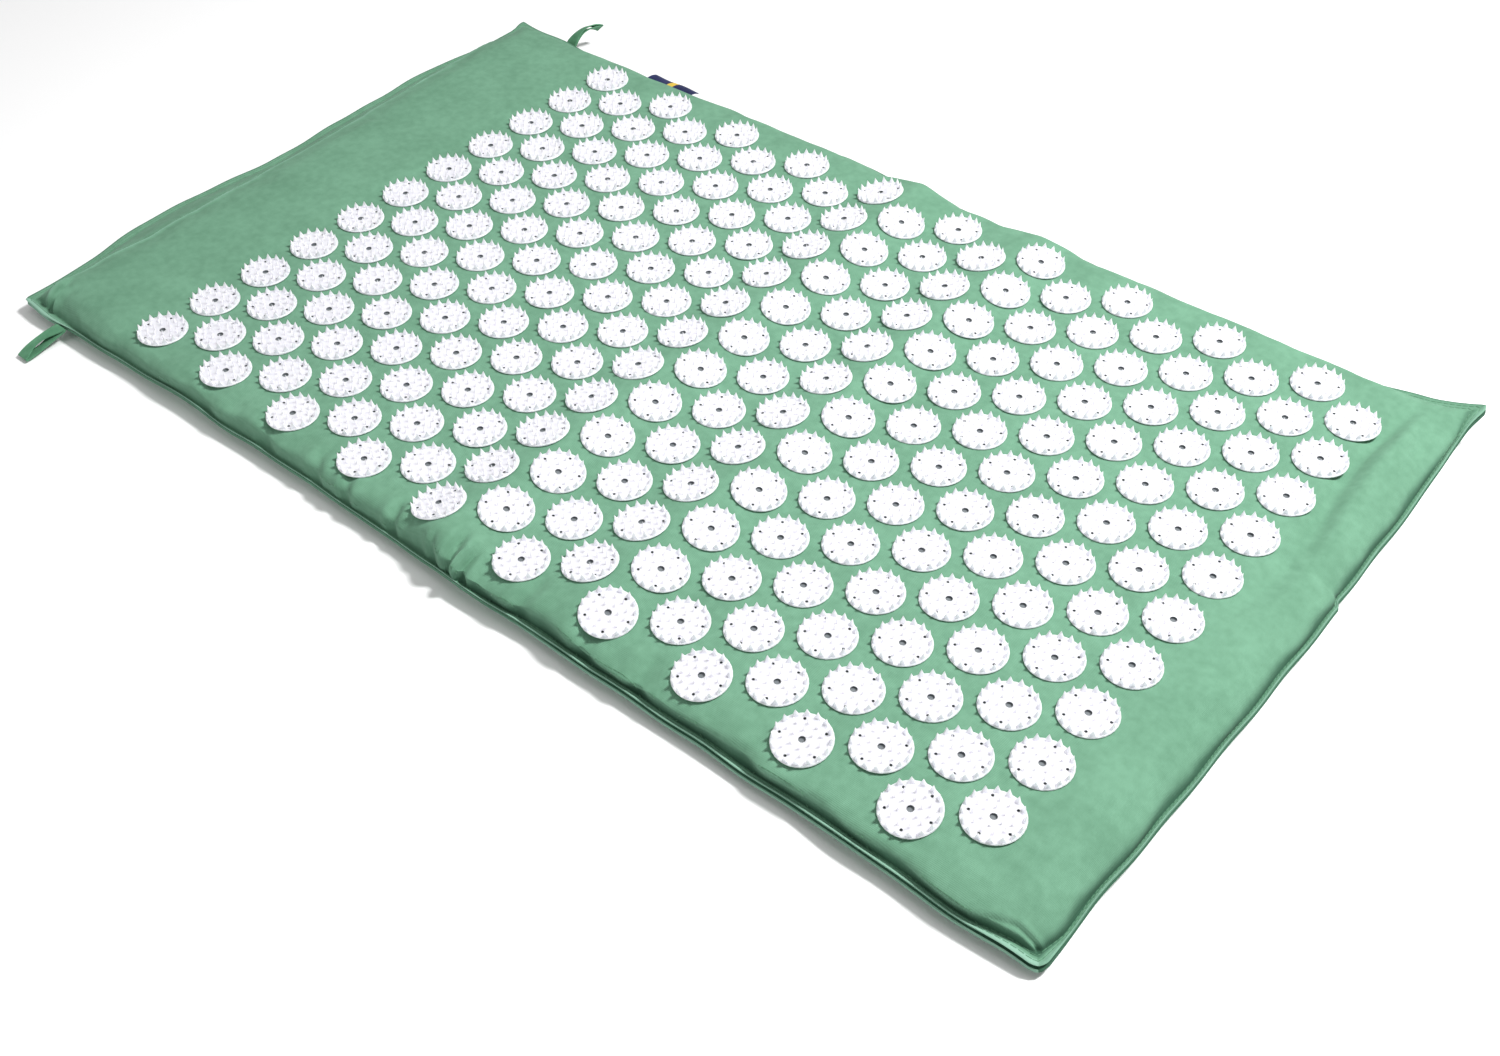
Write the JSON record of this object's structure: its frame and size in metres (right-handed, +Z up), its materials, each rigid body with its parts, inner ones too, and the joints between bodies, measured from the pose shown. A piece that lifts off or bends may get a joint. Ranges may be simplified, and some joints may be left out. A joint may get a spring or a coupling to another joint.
{
  "type": "acupressure mat",
  "caption": "Flat foam mat in a green cotton cover whose top is set with staggered round white spiked plastic discs, with a bare head end, two folded hanging loops and a small side tag.",
  "frame": {"origin": "On the floor, on the flat underside, under the middle of the cover's outline.", "axes": "+X points along the mat from its bare head end to its foot end, +Y across the mat to the long side that carries the tag, and +Z up, out of the spiked top."},
  "size_m": [0.7662, 0.4969, 0.0329],
  "materials": {
    "cotton": "matte",
    "foam": "matte",
    "closure_tape": "matte",
    "green_tape": "matte",
    "navy_tag": "matte"
  },
  "bodies": {
    "mat": {"top_panel": "cotton", "bottom_panel": "cotton", "foam_core": "foam", "hook_tape": "closure_tape", "loop_tape": "closure_tape"},
    "front_loop": {"hanging_loop_front": "green_tape"},
    "back_loop": {"hanging_loop_back": "green_tape"},
    "tag": {"side_tag": "navy_tag"}
  },
  "joints": [
    {"name": "front_loop_hinge", "type": "hinge", "parent": "mat", "child": "front_loop", "pos_m": [-0.325, -0.2226, 0.008], "axis": [-1, 0, 0], "range_deg": [0, 95], "stiffness_Nm_per_rad": 0.001},
    {"name": "back_loop_hinge", "type": "hinge", "parent": "mat", "child": "back_loop", "pos_m": [-0.329, 0.22263, 0.00902], "axis": [1, 0, 0], "range_deg": [-35, 10], "stiffness_Nm_per_rad": 0.001},
    {"name": "tag_hinge", "type": "hinge", "parent": "mat", "child": "tag", "pos_m": [-0.232, 0.22136, 0.008], "axis": [1, 0, 0], "range_deg": [-30, 75], "stiffness_Nm_per_rad": 0.0002}
  ]
}
